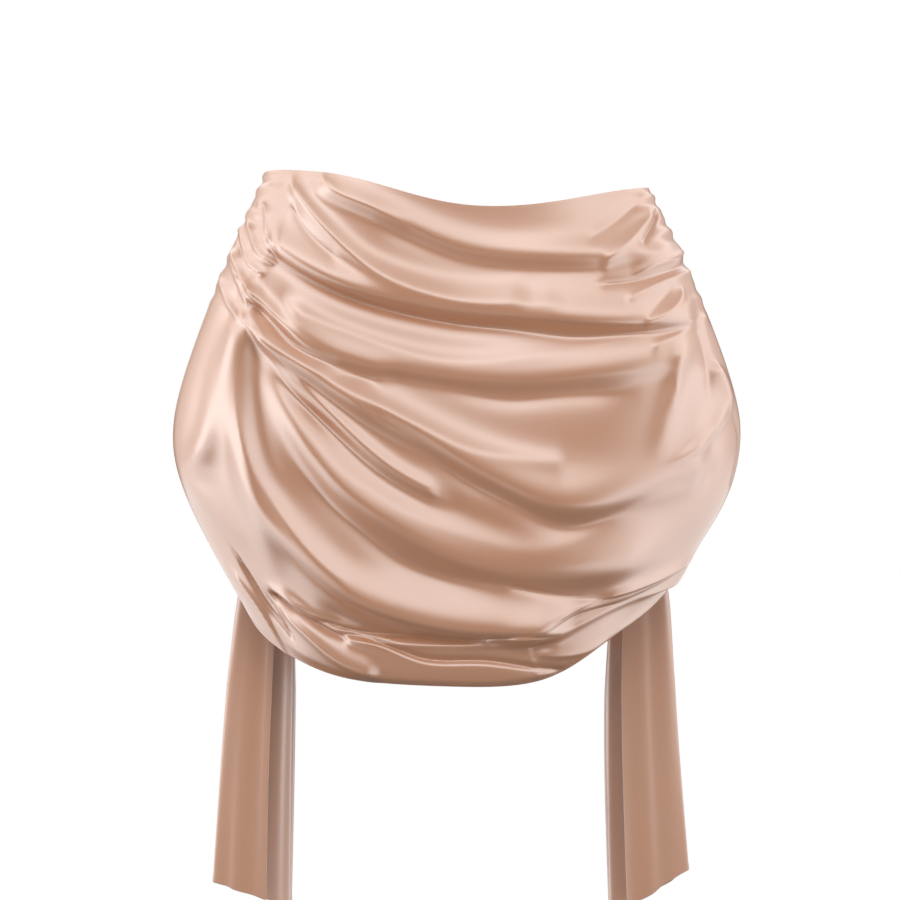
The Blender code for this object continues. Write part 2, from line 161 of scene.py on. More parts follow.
# finer creases along the cloth, sharp in the crest, with the columns of swags; a negative rise is a hollow
creases = (
    ("shoulder crease", (242, 166, 100, 44, -22, -118), (0.037, 0.120, 0.173, 0.190, 0.203, 0.225),
     (3.5, 1.5), (14, 22), (9, 20), 25, 1),
    ("shoulder hollow", (232, 200, 150), (0.078, 0.120, 0.165), (-3.5, -2), (9, 12), (12, 14), 18, 0),
    ("neck crease", (194, 156, 118, 66), (0.015, 0.043, 0.052, 0.072), (3, 1.5), (14, 18), (16, 20), 22, 0),
    ("upper hollow", (90, 14, -64, -132, -184, -240), (0.085, 0.105, 0.133, 0.160, 0.168, 0.172),
     (-2.5, -3), (24, 24), (24, 22), 40, 0),
    ("upper underside", (244, 182, 140, 100, 44, -62, -134, -208, -308),
     (0.172, 0.210, 0.230, 0.240, 0.243, 0.266, 0.302, 0.313, 0.345), (-11, -6), (13, 16), (16, 28), 22, 0),
    ("second edge", (204, 148, 100, 46, -98, -196, -286), (0.270, 0.295, 0.310, 0.323, 0.330, 0.333, 0.335),
     (2.5, 1.5), (12, 20), (18, 30), 25, 1),
    ("second hollow", (140, 80, 14, -60, -114, -180), (0.385, 0.375, 0.380, 0.412, 0.415, 0.430),
     (-3, -4), (20, 26), (20, 26), 70, 0),
    ("pocket edge", (262, 230, 196, 172, 130), (0.256, 0.285, 0.315, 0.340, 0.362),
     (3.5, 1.5), (10, 12), (7, 10), 16, 1),
    ("pocket", (250, 218, 196, 154, 90), (0.283, 0.312, 0.336, 0.359, 0.388),
     (-12, -2), (12, 14), (11, 18), 20, 0),
    ("bright edge", (252, 212, 162, 106, 68, 28, -10, -48, -118),
     (0.304, 0.340, 0.378, 0.417, 0.443, 0.473, 0.503, 0.522, 0.550), (5, 2.5), (9, 20), (13, 30), 18, 2),
    ("narrow edge", (260, 230, 198, 144, 86, 26), (0.314, 0.340, 0.378, 0.455, 0.535, 0.594),
     (4, 1.5), (9, 16), (7, 16), 14, 2),
    ("narrow hollow", (238, 214, 186, 150, 92, 20, -70), (0.352, 0.384, 0.434, 0.484, 0.557, 0.618, 0.680),
     (-8, -1), (12, 24), (20, 34), 34, 0),
    ("long hollow", (100, 46, -12, -52, -110, -154, -198, -240, -290),
     (0.440, 0.490, 0.573, 0.608, 0.670, 0.680, 0.657, 0.640, 0.642), (-5, -6), (16, 34), (18, 34), 40, 0),
    ("lower edge", (190, 134, 96, 58, 10, -40, -88, -150),
     (0.450, 0.562, 0.603, 0.638, 0.672, 0.700, 0.718, 0.710), (3, 1.5), (22, 30), (22, 30), 80, 1),
    ("lower hollow", (178, 152, 116, 78, 38, -52, -130, -202),
     (0.570, 0.625, 0.675, 0.725, 0.758, 0.780, 0.805, 0.850), (-9, -6), (34, 40), (36, 34), 60, 0),
    ("cowl edge", (240, 224, 206, 172, 130), (0.520, 0.600, 0.658, 0.735, 0.785),
     (4, 2), (12, 16), (12, 18), 24, 1),
    ("cowl hollow", (236, 228, 200, 164, 124, 82, 0, -60),
     (0.735, 0.755, 0.796, 0.826, 0.852, 0.868, 0.886, 0.892), (-1, -3.5), (20, 12), (22, 12), 60, 0),
    ("hem crevice", (284, 276, 268, 258, 240), (0.825, 0.865, 0.900, 0.922, 0.945),
     (-9, -4), (6, 6), (8, 8), 12, 0),
    ("hem hook", (300, 288, 278, 270), (0.865, 0.900, 0.940, 0.978), (5, 5), (9, 9), (9, 9), 12, 0),
    ("inner crease", (262, 252, 242), (0.884, 0.915, 0.948), (-3.5, -2), (6, 6), (7, 7), 8, 0),
    ("band crevice", (252, 222, 198, 178, 150), (0.870, 0.882, 0.895, 0.905, 0.916),
     (-10, -6), (5, 6), (9, 9), 14, 0),
    ("crevice lip", (250, 204, 160, 120), (0.852, 0.872, 0.890, 0.888), (3, 1), (12, 12), (6, 6), 18, 1),
    ("band lobe", (240, 206, 174, 112), (0.892, 0.925, 0.955, 0.982), (9, 4), (14, 16), (16, 14), 24, 1),
    ("upper band crease", (184, 114, 50, -30, -72, -122), (0.890, 0.897, 0.897, 0.897, 0.884, 0.893),
     (-6, -4), (8, 9), (5, 6), 30, 0),
    ("upper band lip", (150, 60, -60), (0.911, 0.911, 0.911), (3, 2.5), (6, 6), (10, 10), 40, 1),
    ("lower band crease", (152, 94, 50, -32, -74, -146), (0.907, 0.915, 0.940, 0.945, 0.955, 0.988),
     (-6, -5), (9, 9), (5, 6), 30, 0),
    ("lip edge", (-318, -256, -200, -158, -122), (0.868, 0.860, 0.850, 0.852, 0.860),
     (3.5, 3.5), (14, 16), (6, 6), 36, 2),
    ("lip pocket", (-318, -256, -200, -158, -116), (0.898, 0.890, 0.877, 0.872, 0.880),
     (-4, -7), (6, 7), (18, 26), 36, 0),
    ("lip crease", (-60, -110, -144, -198), (0.786, 0.810, 0.830, 0.850), (-2.5, -3), (9, 9), (9, 9), 18, 0),
    ("right hem roll", (-345, -279, -198, -107), (0.992, 0.990, 0.974, 0.936),
     (3, 5), (18, 18), (8, 12), 18, 0),
    ("left gather one", (300, 272, 262, 246), (0.085, 0.105, 0.138, 0.158), (2, 3), (7, 6), (6, 6), 14, 0),
    ("left gather two", (330, 298, 270, 238), (0.110, 0.138, 0.177, 0.196),
     (1.5, 4), (9, 6), (6, 5), 16, 2),
    ("left gather three", (340, 310, 286, 250), (0.140, 0.164, 0.200, 0.222),
     (1.5, 4), (9, 6), (6, 5), 16, 2),
    ("left gather four", (345, 308, 280, 254), (0.180, 0.212, 0.240, 0.264),
     (1.5, 4.5), (9, 7), (6, 5), 16, 2),
    ("left gather five", (350, 310, 290, 262), (0.245, 0.278, 0.300, 0.322),
     (1.5, 4), (9, 8), (7, 6), 16, 2),
    ("left gather six", (318, 286, 256), (0.218, 0.250, 0.290), (1.5, 4), (8, 6), (6, 5), 16, 2),
    ("left gather seven", (290, 262, 240), (0.246, 0.263, 0.288), (3, 2), (6, 6), (6, 6), 10, 0),
    ("left gather hollow", (322, 290, 256), (0.170, 0.198, 0.226), (-3, -2), (8, 8), (8, 8), 12, 0),
    ("right hollow one", (-180, -224, -276), (0.098, 0.070, 0.034), (-1.8, -2.2), (16, 14), (16, 14), 26, 0),
    ("right ridge one", (-188, -238, -292), (0.165, 0.120, 0.076), (2.5, 2.5), (14, 12), (14, 12), 16, 0),
    ("right nick", (-256, -280, -310), (0.132, 0.104, 0.070), (-3, -4), (6, 6), (6, 5), 10, 0),
    ("right fold", (-236, -264, -292, -340), (0.196, 0.190, 0.190, 0.180), (3, 4), (16, 18), (7, 6), 24, 2),
    ("right crevice", (-180, -246, -282, -312, -340), (0.205, 0.212, 0.213, 0.212, 0.205),
     (-3.5, -3), (8, 6), (10, 9), 24, 0),
    ("right ridge two", (-210, -254, -292, -330), (0.242, 0.231, 0.229, 0.232),
     (3, 3), (10, 9), (14, 12), 16, 1),
    ("right hollow two", (-228, -252, -276), (0.288, 0.268, 0.248), (-1.5, -1.5), (14, 12), (12, 10), 16, 0),
    ("right ridge three", (-226, -262, -292), (0.300, 0.291, 0.268), (2.5, 3), (12, 10), (10, 10), 12, 0),
    ("right edge two", (-230, -280, -330), (0.352, 0.344, 0.338), (2.5, 2.5), (8, 8), (16, 14), 14, 0),
)

# finer creases across the wraps, and a loop in the hem band, with the columns of armFolds
armCreases = (
    ("right arm crest", (-262, -256, -246), (0.372, 0.420, 0.480), (2.5, 2), (14, 16), (14, 16), 0.08),
    ("right arm hollow two", (-302, -300, -294), (0.372, 0.420, 0.480), (-3, -3), (14, 16), (14, 16), 0.06),
    ("right arm crest two", (-314, -320, -326), (0.430, 0.480, 0.530), (3.5, 3), (12, 14), (12, 14), 0.06),
    ("right elbow hollow", (-330, -350, -344), (0.530, 0.600, 0.685), (-3, -3), (14, 16), (14, 16), 0.06),
    ("hem loop", (-92, -97, -110), (0.920, 0.945, 0.975), (1.8, 1.5), (12, 12), (12, 12), 0.05),
)

# small pleats on the pleats: lengthwise waves of two sizes, their depth at each along
ripples = {
    "waves": (19.0, 31.0), "wander": (0.9, 1.3), "wanderTurns": (2.3, 1.7), "wanderStart": (0, 1),
    "drift": (190.0, 260.0), "share": (1.0, 0.6),
    "along": (250, 330, 425, 540, 612, 760, 1125), "depth": (0, 1.0, 2.0, 1.6, 1.1, 1.1, 1.6),
    "upperReach": (0.30, 0.15), "fullFrom": (400.0, 90.0),
}


# weights of a natural cubic spline: solve for the bends at the knots, then blend values and bends
def splineWeights(knots, places):
    knots = np.asarray(knots, dtype=float)
    gaps = np.diff(knots)
    count = len(knots)
    bendSide = np.eye(count)
    valueSide = np.zeros((count, count))
    for knot in range(1, count - 1):
        before, after = gaps[knot - 1], gaps[knot]
        bendSide[knot, knot - 1:knot + 2] = (before, 2 * (before + after), after)
        valueSide[knot, knot - 1:knot + 2] = (6 / before, -6 / before - 6 / after, 6 / after)
    bends = np.linalg.solve(bendSide, valueSide)
    places = np.asarray(places, dtype=float)
    first = np.clip(np.searchsorted(knots, places, side="right") - 1, 0, count - 2)
    gap = gaps[first][:, None]
    done = places[:, None] - knots[first][:, None]
    left = gap - done
    values = np.eye(count)
    return (values[first] * left / gap + values[first + 1] * done / gap
            + bends[first] * (left ** 3 / gap - gap * left) / 6
            + bends[first + 1] * (done ** 3 / gap - gap * done) / 6)


# 0 below 0, 1 above 1, a smooth rise between
def smoothRamp(value):
    held = np.clip(value, 0.0, 1.0)
    return held * held * (3.0 - 2.0 * held)


# the sections of both sides in order, from the right tail to the left one
def bothSides():
    alongs, points = [], []
    for side in (-1, 1):
        for row in sections:
            if side == -1 and row[0] == 0:
                continue
            across = side * (np.array(row[4], dtype=float) - (row[3] if side == -1 else 0))
            level = np.array(row[6], dtype=float) + side * row[1] * np.array(upperTiltReach)
            level -= side * row[2] * np.array(lowerTiltReach)
            alongs.append(side * row[0])
            points.append((across, np.array(row[5], dtype=float), level))
    order = np.argsort(alongs)
    return np.array(alongs, dtype=float)[order], np.array(points)[order]


sectionAlongs, sectionGrid = bothSides()


# smooth cloth: a spline along it times a spline across it, on the grid of the two lists
def smoothCloth(along, share):
    return np.einsum("ai,icj,sj->asc", splineWeights(sectionAlongs, along), sectionGrid,
                     splineWeights(sectionShares, share))


# unit vectors across the cloth, along it and out of its face, by differences of the smooth cloth
def clothDirections(along, share):
    step, shareStep = cloth["step"], cloth["shareStep"]
    run = smoothCloth(along + step, share) - smoothCloth(along - step, share)
    drop = smoothCloth(along, share + shareStep) - smoothCloth(along, share - shareStep)
    out = np.cross(run, drop)
    return tuple(v / np.linalg.norm(v, axis=2)[..., None] for v in (drop, run, out))


# width of the cloth at each section: length of its share line
def sectionWidths():
    points = smoothCloth(sectionAlongs, np.linspace(0, 1, cloth["widthSamples"]))
    return np.linalg.norm(np.diff(points, axis=1), axis=2).sum(axis=1)


widths = sectionWidths()


# a bell on each side of the crest, narrower or wider by side, tapered at the two ends;
# a sharp one falls off as e to the minus root of one plus the distance squared
def foldHeight(place, distance, start, end, rise, above, below, fade, sharp):
    part = np.clip((place - start) / (end - start), 0, 1)
    top = rise[1] + (rise[0] - rise[1]) * part
    side = np.where(distance > 0, above[1] + (above[0] - above[1]) * part,
                    below[1] + (below[0] - below[1]) * part)
    ends = smoothRamp((place - start) / fade + 0.5) * smoothRamp((end - place) / fade + 0.5)
    far = (distance / side) ** 2
    return top * np.exp(1 - np.sqrt(1 + sharpFall * far) if sharp else -far) * ends


# a fold along the cloth: distance above its crest is the share left to it times the width,
# cut down by the crest's own slope; past its ends the crest runs straight on
def swagHeight(row, along, share, width, sharp):
    alongs, shares = np.array(row[1], dtype=float), np.array(row[2])
    if alongs[0] > alongs[-1]:
        alongs, shares = alongs[::-1], shares[::-1]
    step = cloth["step"]
    inside = np.clip(along, alongs[0] + step, alongs[-1] - step)
    crest, ahead, behind = (splineWeights(alongs, inside + move) @ shares for move in (0.0, step, -step))
    rate = (ahead - behind) / (2 * step)
    crest = crest + rate * (along - inside)
    slope = rate * width
    distance = (crest[:, None] - share[None, :]) * (width / np.sqrt(1 + slope ** 2))[:, None]
    return foldHeight(along[:, None], distance, alongs[0], alongs[-1], *row[3:7], sharp)


# a fold across the cloth: distance along from its crest line
def armFoldHeight(row, along, share, sharp):
    crest = splineWeights(row[2], np.clip(share, row[2][0], row[2][-1])) @ np.array(row[1], dtype=float)
    distance = along[:, None] - crest[None, :]
    return foldHeight(share[None, :], distance, row[2][0], row[2][-1], *row[3:7], sharp)


# rounded zigzag across the cloth: the arc sine of a flattened sine, with an uneven pace
def pleatWave(side, share):
    uneven = pleats["unevenness"] * np.sin(2 * math.pi * pleats["unevenTurns"] * share)
    turn = pleats["legs"] * math.pi * share + pleats["start"][side] + uneven
    return np.arcsin(pleats["sharpness"] * np.sin(turn)) / math.asin(pleats["sharpness"])


# two sets of waves across the cloth whose pace wanders, drifting slowly along it; at the start of
# the wraps they keep to the upper part of the cloth, where it is gathered
def rippleHeight(along, share):
    depth = np.interp(np.abs(along), ripples["along"], ripples["depth"])[:, None]
    turn = 2 * math.pi * share[None, :]
    wave = 0
    for k, way in ((0, 1), (1, -1)):
        wander = ripples["wander"][k] * np.sin(ripples["wanderTurns"][k] * turn + ripples["wanderStart"][k])
        drift = way * along[:, None] / ripples["drift"][k]
        wave = wave + ripples["share"][k] * np.sin(ripples["waves"][k] * turn + wander + drift)
    upper = smoothRamp((ripples["upperReach"][0] - share[None, :]) / ripples["upperReach"][1] + 0.5)
    full = smoothRamp((np.abs(along)[:, None] - ripples["fullFrom"][0]) / ripples["fullFrom"][1])
    return depth * wave * np.maximum(upper, full)


# finished cloth: the smooth one moved out by folds and pleats, crests rolled down, tail ends lifted
def clothPoints(along, share):
    along, share = np.asarray(along, dtype=float), np.asarray(share, dtype=float)
    points = smoothCloth(along, share)
    drop, run, out = clothDirections(along, share)
    width = np.interp(along, sectionAlongs, widths)
    height = np.zeros(points.shape[:2])
    roll = np.zeros(points.shape[:2])
    for table, sharp in ((swags, False), (creases, True)):
        for row in table:
            fold = swagHeight(row, along, share, width, sharp)
            height += fold
            roll += row[7] * fold / max(row[3])
    for table, sharp in ((armFolds, False), (armCreases, True)):
        for row in table:
            height += armFoldHeight(row, along, share, sharp)
    height += rippleHeight(along, share)
    depth = np.interp(np.abs(along), pleats["along"], pleats["depth"])
    left = along[:, None] > 0
    wave = np.where(left, pleatWave(1, share)[None, :] * pleats["scale"][1],
                    pleatWave(-1, share)[None, :] * pleats["scale"][-1])
    pleat = depth[:, None] * wave
    points += out * (height - pleat)[..., None] + drop * roll[..., None]
    ramp = smoothRamp((np.abs(along) - pleats["liftStart"]) / (cloth["tailEnd"] - pleats["liftStart"]))
    lift = np.where(left, pleats["lift"][1], pleats["lift"][-1])
    points[..., 2] += lift * pleat * ramp[:, None]
    return points


# places of the rows: close together at the two hems, closer in the lower band than above it
def shareRows():
    near, margin = np.array(cloth["hemRows"]) / cloth["width"], cloth["sideMargin"] / cloth["width"]
    upper = np.linspace(margin, cloth["bandStart"], cloth["rows"][0], endpoint=False)
    lower = np.linspace(cloth["bandStart"], 1 - margin, cloth["rows"][1])
    return np.concatenate([near, upper, lower, 1 - near[::-1]])


# unit normals of a grid of points, from its differences both ways
def gridNormals(points):
    normals = np.cross(np.gradient(points, axis=0), np.gradient(points, axis=1))
    return normals / np.linalg.norm(normals, axis=2)[..., None]


# place on the flat cloth, along it and down from its upper edge
def clothPlaces(along, share):
    grids = np.broadcast_arrays(along[:, None], share[None, :] * cloth["width"])
    return np.stack(grids, axis=-1).reshape(-1, 2)


# distance from the nearest hemmed edge, in millimetres of cloth
def edgeDistance(along, share):
    across = np.minimum(share, 1 - share) * cloth["width"]
    end = cloth["tailEnd"] - np.abs(along)
    return np.minimum(across[None, :], end[:, None])


# hem stitches: a spindle each, with a tip at either end and four corners round its middle, joined by
# eight triangles; clothHalf is half the thickness of the hem, and the tips sink into it
stitch = {
    "pitch": 3.0, "length": 2.2, "inset": 5.2, "radius": 0.22, "clothHalf": 0.7, "sink": 0.15, "corners": 6,
    "triangles": ((2, 3, 0), (3, 4, 0), (4, 5, 0), (5, 2, 0), (3, 2, 1), (4, 3, 1), (5, 4, 1), (2, 5, 1)),
}


# a set of hem stitches on both faces: each stands on the cloth, off its middle surface by half its
# thickness along its own normal there
def stitchSet(along, share, lengthwise):
    step, width = stitch["length"] / 2, cloth["width"]
    ahead, behind = clothPoints(along + step, share), clothPoints(along - step, share)
    below, above = clothPoints(along, share + step / width), clothPoints(along, share - step / width)
    out = np.cross(ahead - behind, below - above).reshape(-1, 3)
    out /= np.linalg.norm(out, axis=1)[:, None]
    first, last = (behind, ahead) if lengthwise else (above, below)
    first, last, middle = (p.reshape(-1, 3) for p in (first, last, clothPoints(along, share)))
    axis = (last - first) / np.linalg.norm(last - first, axis=1)[:, None]
    corners, sides = [], []
    for face in (1, -1):
        lift, across = out * face, np.cross(out, axis) * face
        base = lift * stitch["clothHalf"]
        tips = base - lift * stitch["sink"]
        ring = (lift, across, -lift, -across)
        corners.append(np.stack([first + tips, last + tips]
                                + [middle + base + way * stitch["radius"] for way in ring], axis=1))
        sides.append(np.stack([-axis, axis, *ring], axis=1))
    place = clothPlaces(along, share).reshape(-1, 1, 2)
    place = np.tile(np.repeat(place, stitch["corners"], axis=1), (2, 1, 1))
    return np.concatenate(corners).reshape(-1, 3), np.concatenate(sides).reshape(-1, 3), place.reshape(-1, 2)


# all hem stitches of a stretch: rows near both long edges, and near the end of a tail
def hemStitches(start, end):
    width, inset, pitch = cloth["width"], stitch["inset"], stitch["pitch"]
    centres = np.arange(start + pitch / 2, end, pitch)
    centres = centres[np.abs(centres) < cloth["tailEnd"] - inset - pitch / 2]
    sets = [stitchSet(centres, np.array([inset, width - inset]) / width, True)]
    for edge in (start, end):
        if abs(edge) == cloth["tailEnd"]:
            shares = np.arange(inset + pitch / 2, width - inset, pitch) / width
            sets.append(stitchSet(np.array([edge - math.copysign(inset, edge)]), shares, False))
    points, sides, places = (np.concatenate(parts) for parts in zip(*sets))
    first = np.arange(0, len(points), stitch["corners"])
    faces = (first[:, None, None] + np.array(stitch["triangles"])[None]).reshape(-1, 3)
    return points, sides, places, faces


# one stretch of cloth as a closed thin shell: the grid moved out and in by half the wall, thicker in
# the hem, its open sides closed by a strip, rounded where they are hemmed; the normals come from the
# whole cloth, so that neighbours meet without a line
def shellParts(along):
    share = shareRows()
    padded = np.concatenate([[along[0] - cloth["padStep"]], along, [along[-1] + cloth["padStep"]]])
    allPoints = clothPoints(padded, share)
    points, normals = allPoints[1:-1], gridNormals(allPoints)[1:-1]
    hem = smoothRamp((cloth["hemWidth"] - edgeDistance(along, share)) / cloth["hemSoft"] + 0.5)
    half = ((cloth["wall"] + cloth["hemExtra"] * hem) / 2).reshape(-1, 1)
    nA, nS = points.shape[:2]
    size = nA * nS
    index = np.arange(size).reshape(nA, nS)
    grid = np.stack([index[:-1, :-1], index[1:, :-1], index[1:, 1:], index[:-1, 1:]], axis=-1).reshape(-1, 4)
    ring = np.concatenate([index[:, 0], index[-1, 1:], index[-2::-1, -1], index[0, -2:0:-1]])
    points, normals = points.reshape(-1, 3), normals.reshape(-1, 3)
    away = np.cross(points[np.roll(ring, -1)] - points[np.roll(ring, 1)], normals[ring])
    away /= np.linalg.norm(away, axis=1)[:, None]
    seams = [end for end in (along[0], along[-1]) if abs(end) != cloth["tailEnd"]]
    atSeam = np.isin(np.repeat(along, nS)[ring], seams)[:, None]
    bulge = np.where(atSeam, 0.0, half[ring] * cloth["rimBulge"])
    rim = 2 * size + np.arange(len(ring))
    nextRing, nextRim = np.roll(ring, -1), np.roll(rim, -1)
    faces = np.concatenate([grid, grid[:, ::-1] + size, np.stack([nextRing, ring, rim, nextRim], axis=-1),
                            np.stack([nextRim, rim, ring + size, nextRing + size], axis=-1)])
    lift = normals * half
    vertices = np.concatenate([points + lift, points - lift, points[ring] + away * bulge])
    places = clothPlaces(along, share)
    places = np.concatenate([places, places, places[ring]])
    return vertices, np.concatenate([normals, -normals, away]), places, faces, len(grid)


# the shell and its hem stitches in one mesh: satin outside, its reverse inside, thread on the hems
def clothPiece(name, along, materials):
    shell, shellSides, shellPlaces, faces, gridFaces = shellParts(along)
    stitches, stitchSides, stitchPlaces, stitchFaces = hemStitches(along[0], along[-1])
    stitchFaces = stitchFaces + len(shell)
    vertices = np.concatenate([shell, stitches]) * millimetre
    sides = np.concatenate([shellSides, stitchSides])
    places = np.concatenate([shellPlaces, stitchPlaces]) * millimetre
    corners = np.concatenate([faces.ravel(), stitchFaces.ravel()])
    starts = np.concatenate([np.arange(0, faces.size, 4), faces.size + np.arange(0, stitchFaces.size, 3)])
    kinds = np.zeros(len(starts), dtype=np.int32)
    kinds[gridFaces:2 * gridFaces] = 1
    kinds[len(faces):] = 2
    mesh = bpy.data.meshes.new(name)
    mesh.vertices.add(len(vertices))
    mesh.vertices.foreach_set("co", vertices.astype(np.float32).ravel())
    mesh.loops.add(len(corners))
    mesh.loops.foreach_set("vertex_index", corners.astype(np.int32))
    mesh.polygons.add(len(starts))
    mesh.polygons.foreach_set("loop_start", starts.astype(np.int32))
    for material in materials:
        mesh.materials.append(material)
    mesh.polygons.foreach_set("material_index", kinds)
    mesh.update(calc_edges=True)
    mesh.validate()
    layer = mesh.uv_layers.new(name="clothUv")
    layer.uv.foreach_set("vector", places[corners].astype(np.float32).ravel())
    mesh.polygons.foreach_set("use_smooth", np.ones(len(starts), dtype=bool))
    mesh.normals_split_custom_set_from_vertices(sides.tolist())
    piece = bpy.data.objects.new(name, mesh)
    bpy.context.scene.collection.objects.link(piece)
    print("made", name, len(faces) * 2 + len(stitchFaces), "triangles")
    return piece


# satin: its three finishes, the sizes of its weave in metres, and how far each part of the weave
# changes tone, roughness and height; waveTurn makes the wave texture's period one yarn
satin = {
    "face": {"colour": (0.47, 0.205, 0.098, 1.0), "rough": 0.36, "coat": 1.0},
    "reverse": {"colour": (0.47, 0.21, 0.105, 1.0), "rough": 0.45, "coat": 0.7},
    "thread": {"colour": (0.46, 0.22, 0.125, 1.0), "rough": 0.6, "coat": 0.1},
    "ior": 1.8, "coatIor": 2.8, "coatRough": 0.31,
    "yarn": 0.0006, "slub": 0.012, "cloud": 0.11, "waveTurn": 0.314, "yarnWander": 1.2, "slubLength": 6.0,
    "yarnTone": (0.97, 1.02), "slubTone": (0.97, 1.03), "cloudTone": (0.94, 1.06),
    "slubRough": 0.06, "slubHeight": 1.5, "bumpStrength": 0.25, "bumpDepth": 0.00008,
}


# weave group: fine yarn lines one way, slubs stretched along them and slow clouds of tone,
# put out as a colour, a roughness and a height
def weaveGroup():
    group = bpy.data.node_groups.new("satinWeave", "ShaderNodeTree")
    for name, kind in (("Vector", "NodeSocketVector"), ("Colour", "NodeSocketColor"),
                       ("Roughness", "NodeSocketFloat")):
        group.interface.new_socket(name, in_out="INPUT", socket_type=kind)
    for name, kind in (("Colour", "NodeSocketColor"), ("Roughness", "NodeSocketFloat"),
                       ("Height", "NodeSocketFloat")):
        group.interface.new_socket(name, in_out="OUTPUT", socket_type=kind)
    n, link = group.nodes, group.links.new
    source, sink = n.new("NodeGroupInput"), n.new("NodeGroupOutput")
    cloud = n.new("ShaderNodeTexNoise")
    cloud.inputs["Scale"].default_value = 1 / satin["cloud"]
    cloud.inputs["Detail"].default_value = 3.0
    link(source.outputs["Vector"], cloud.inputs["Vector"])
    stretch = n.new("ShaderNodeMapping")
    stretch.inputs["Scale"].default_value = (1.0, satin["slubLength"], 1.0)
    link(source.outputs["Vector"], stretch.inputs["Vector"])
    slub = n.new("ShaderNodeTexNoise")
    slub.inputs["Scale"].default_value = 1 / satin["slub"]
    slub.inputs["Detail"].default_value = 2.0
    link(stretch.outputs["Vector"], slub.inputs["Vector"])
    yarn = n.new("ShaderNodeTexWave")
    yarn.bands_direction = "DIAGONAL"
    yarn.inputs["Scale"].default_value = satin["waveTurn"] / satin["yarn"]
    yarn.inputs["Distortion"].default_value = satin["yarnWander"]
    link(source.outputs["Vector"], yarn.inputs["Vector"])

    def shade(factor, tones, colour):  # scales a colour between two brightnesses
        span = n.new("ShaderNodeMapRange")
        span.inputs["To Min"].default_value, span.inputs["To Max"].default_value = tones
        link(factor, span.inputs["Value"])
        scale = n.new("ShaderNodeVectorMath")
        scale.operation = "SCALE"
        link(colour, scale.inputs[0])
        link(span.outputs["Result"], scale.inputs["Scale"])
        return scale.outputs["Vector"]

    tone = shade(cloud.outputs["Fac"], satin["cloudTone"], source.outputs["Colour"])
    tone = shade(slub.outputs["Fac"], satin["slubTone"], tone)
    tone = shade(yarn.outputs["Fac"], satin["yarnTone"], tone)
    link(tone, sink.inputs["Colour"])
    rough = n.new("ShaderNodeMath")
    rough.operation = "MULTIPLY_ADD"
    link(slub.outputs["Fac"], rough.inputs[0])
    rough.inputs[1].default_value = satin["slubRough"]
    link(source.outputs["Roughness"], rough.inputs[2])
    link(rough.outputs["Value"], sink.inputs["Roughness"])
    height = n.new("ShaderNodeMath")
    height.operation = "MULTIPLY_ADD"
    link(slub.outputs["Fac"], height.inputs[0])
    height.inputs[1].default_value = satin["slubHeight"]
    link(yarn.outputs["Fac"], height.inputs[2])
    link(height.outputs["Value"], sink.inputs["Height"])
    return group


# one finish of the satin: the weave group feeds colour, roughness and a fine bump; gloss is constant
def satinMaterial(name, group, finish):
    material = bpy.data.materials.new(name)
    material.use_nodes = True
    n, link = material.node_tree.nodes, material.node_tree.links.new
    shader = n["Principled BSDF"]
    place = n.new("ShaderNodeUVMap")
    place.uv_map = "clothUv"
    weave = n.new("ShaderNodeGroup")
    weave.node_tree = group
    weave.inputs["Colour"].default_value = finish["colour"]
    weave.inputs["Roughness"].default_value = finish["rough"]
    link(place.outputs["UV"], weave.inputs["Vector"])
    link(weave.outputs["Colour"], shader.inputs["Base Color"])
    link(weave.outputs["Roughness"], shader.inputs["Roughness"])
    bump = n.new("ShaderNodeBump")
    bump.inputs["Strength"].default_value = satin["bumpStrength"]
    bump.inputs["Distance"].default_value = satin["bumpDepth"]
    link(weave.outputs["Height"], bump.inputs["Height"])
    link(bump.outputs["Normal"], shader.inputs["Normal"])
    shader.inputs["IOR"].default_value = satin["ior"]
    shader.inputs["Coat Weight"].default_value = finish["coat"]
    shader.inputs["Coat Roughness"].default_value = satin["coatRough"]
    shader.inputs["Coat IOR"].default_value = satin["coatIor"]
    return material


weave = weaveGroup()
satinFace = satinMaterial("satinFace", weave, satin["face"])
satinReverse = satinMaterial("satinReverse", weave, satin["reverse"])
hemThread = satinMaterial("hemThread", weave, satin["thread"])
print("materials made")

backAlong = np.linspace(-cloth["backEnd"], cloth["backEnd"], cloth["backColumns"] + 1)
wrapAlong = np.linspace(cloth["backEnd"], cloth["wrapEnd"], cloth["wrapColumns"] + 1)
tailStart = np.linspace(cloth["wrapEnd"], cloth["tailEnd"] - cloth["endMargin"], cloth["tailColumns"])
tailAlong = np.concatenate([tailStart, cloth["tailEnd"] - np.array(cloth["hemRows"][::-1])])
# piece, node that it replaces, columns along the cloth, flat length in metres
stretches = (
    ("satinBack", "back_drape", backAlong, 0.56),
    ("satinLeftArm", "left_arm_wrap", wrapAlong, 0.31),
    ("satinRightArm", "right_arm_wrap", -wrapAlong[::-1], 0.31),
    ("satinLeftTail", "left_tail", tailAlong, 0.56),
    ("satinRightTail", "right_tail", -tailAlong[::-1], 0.56),
)
for name, node, along, cutLength in stretches:
    piece = clothPiece(name, along, (satinFace, satinReverse, hemThread))
    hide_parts(node)
    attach(piece, "root")

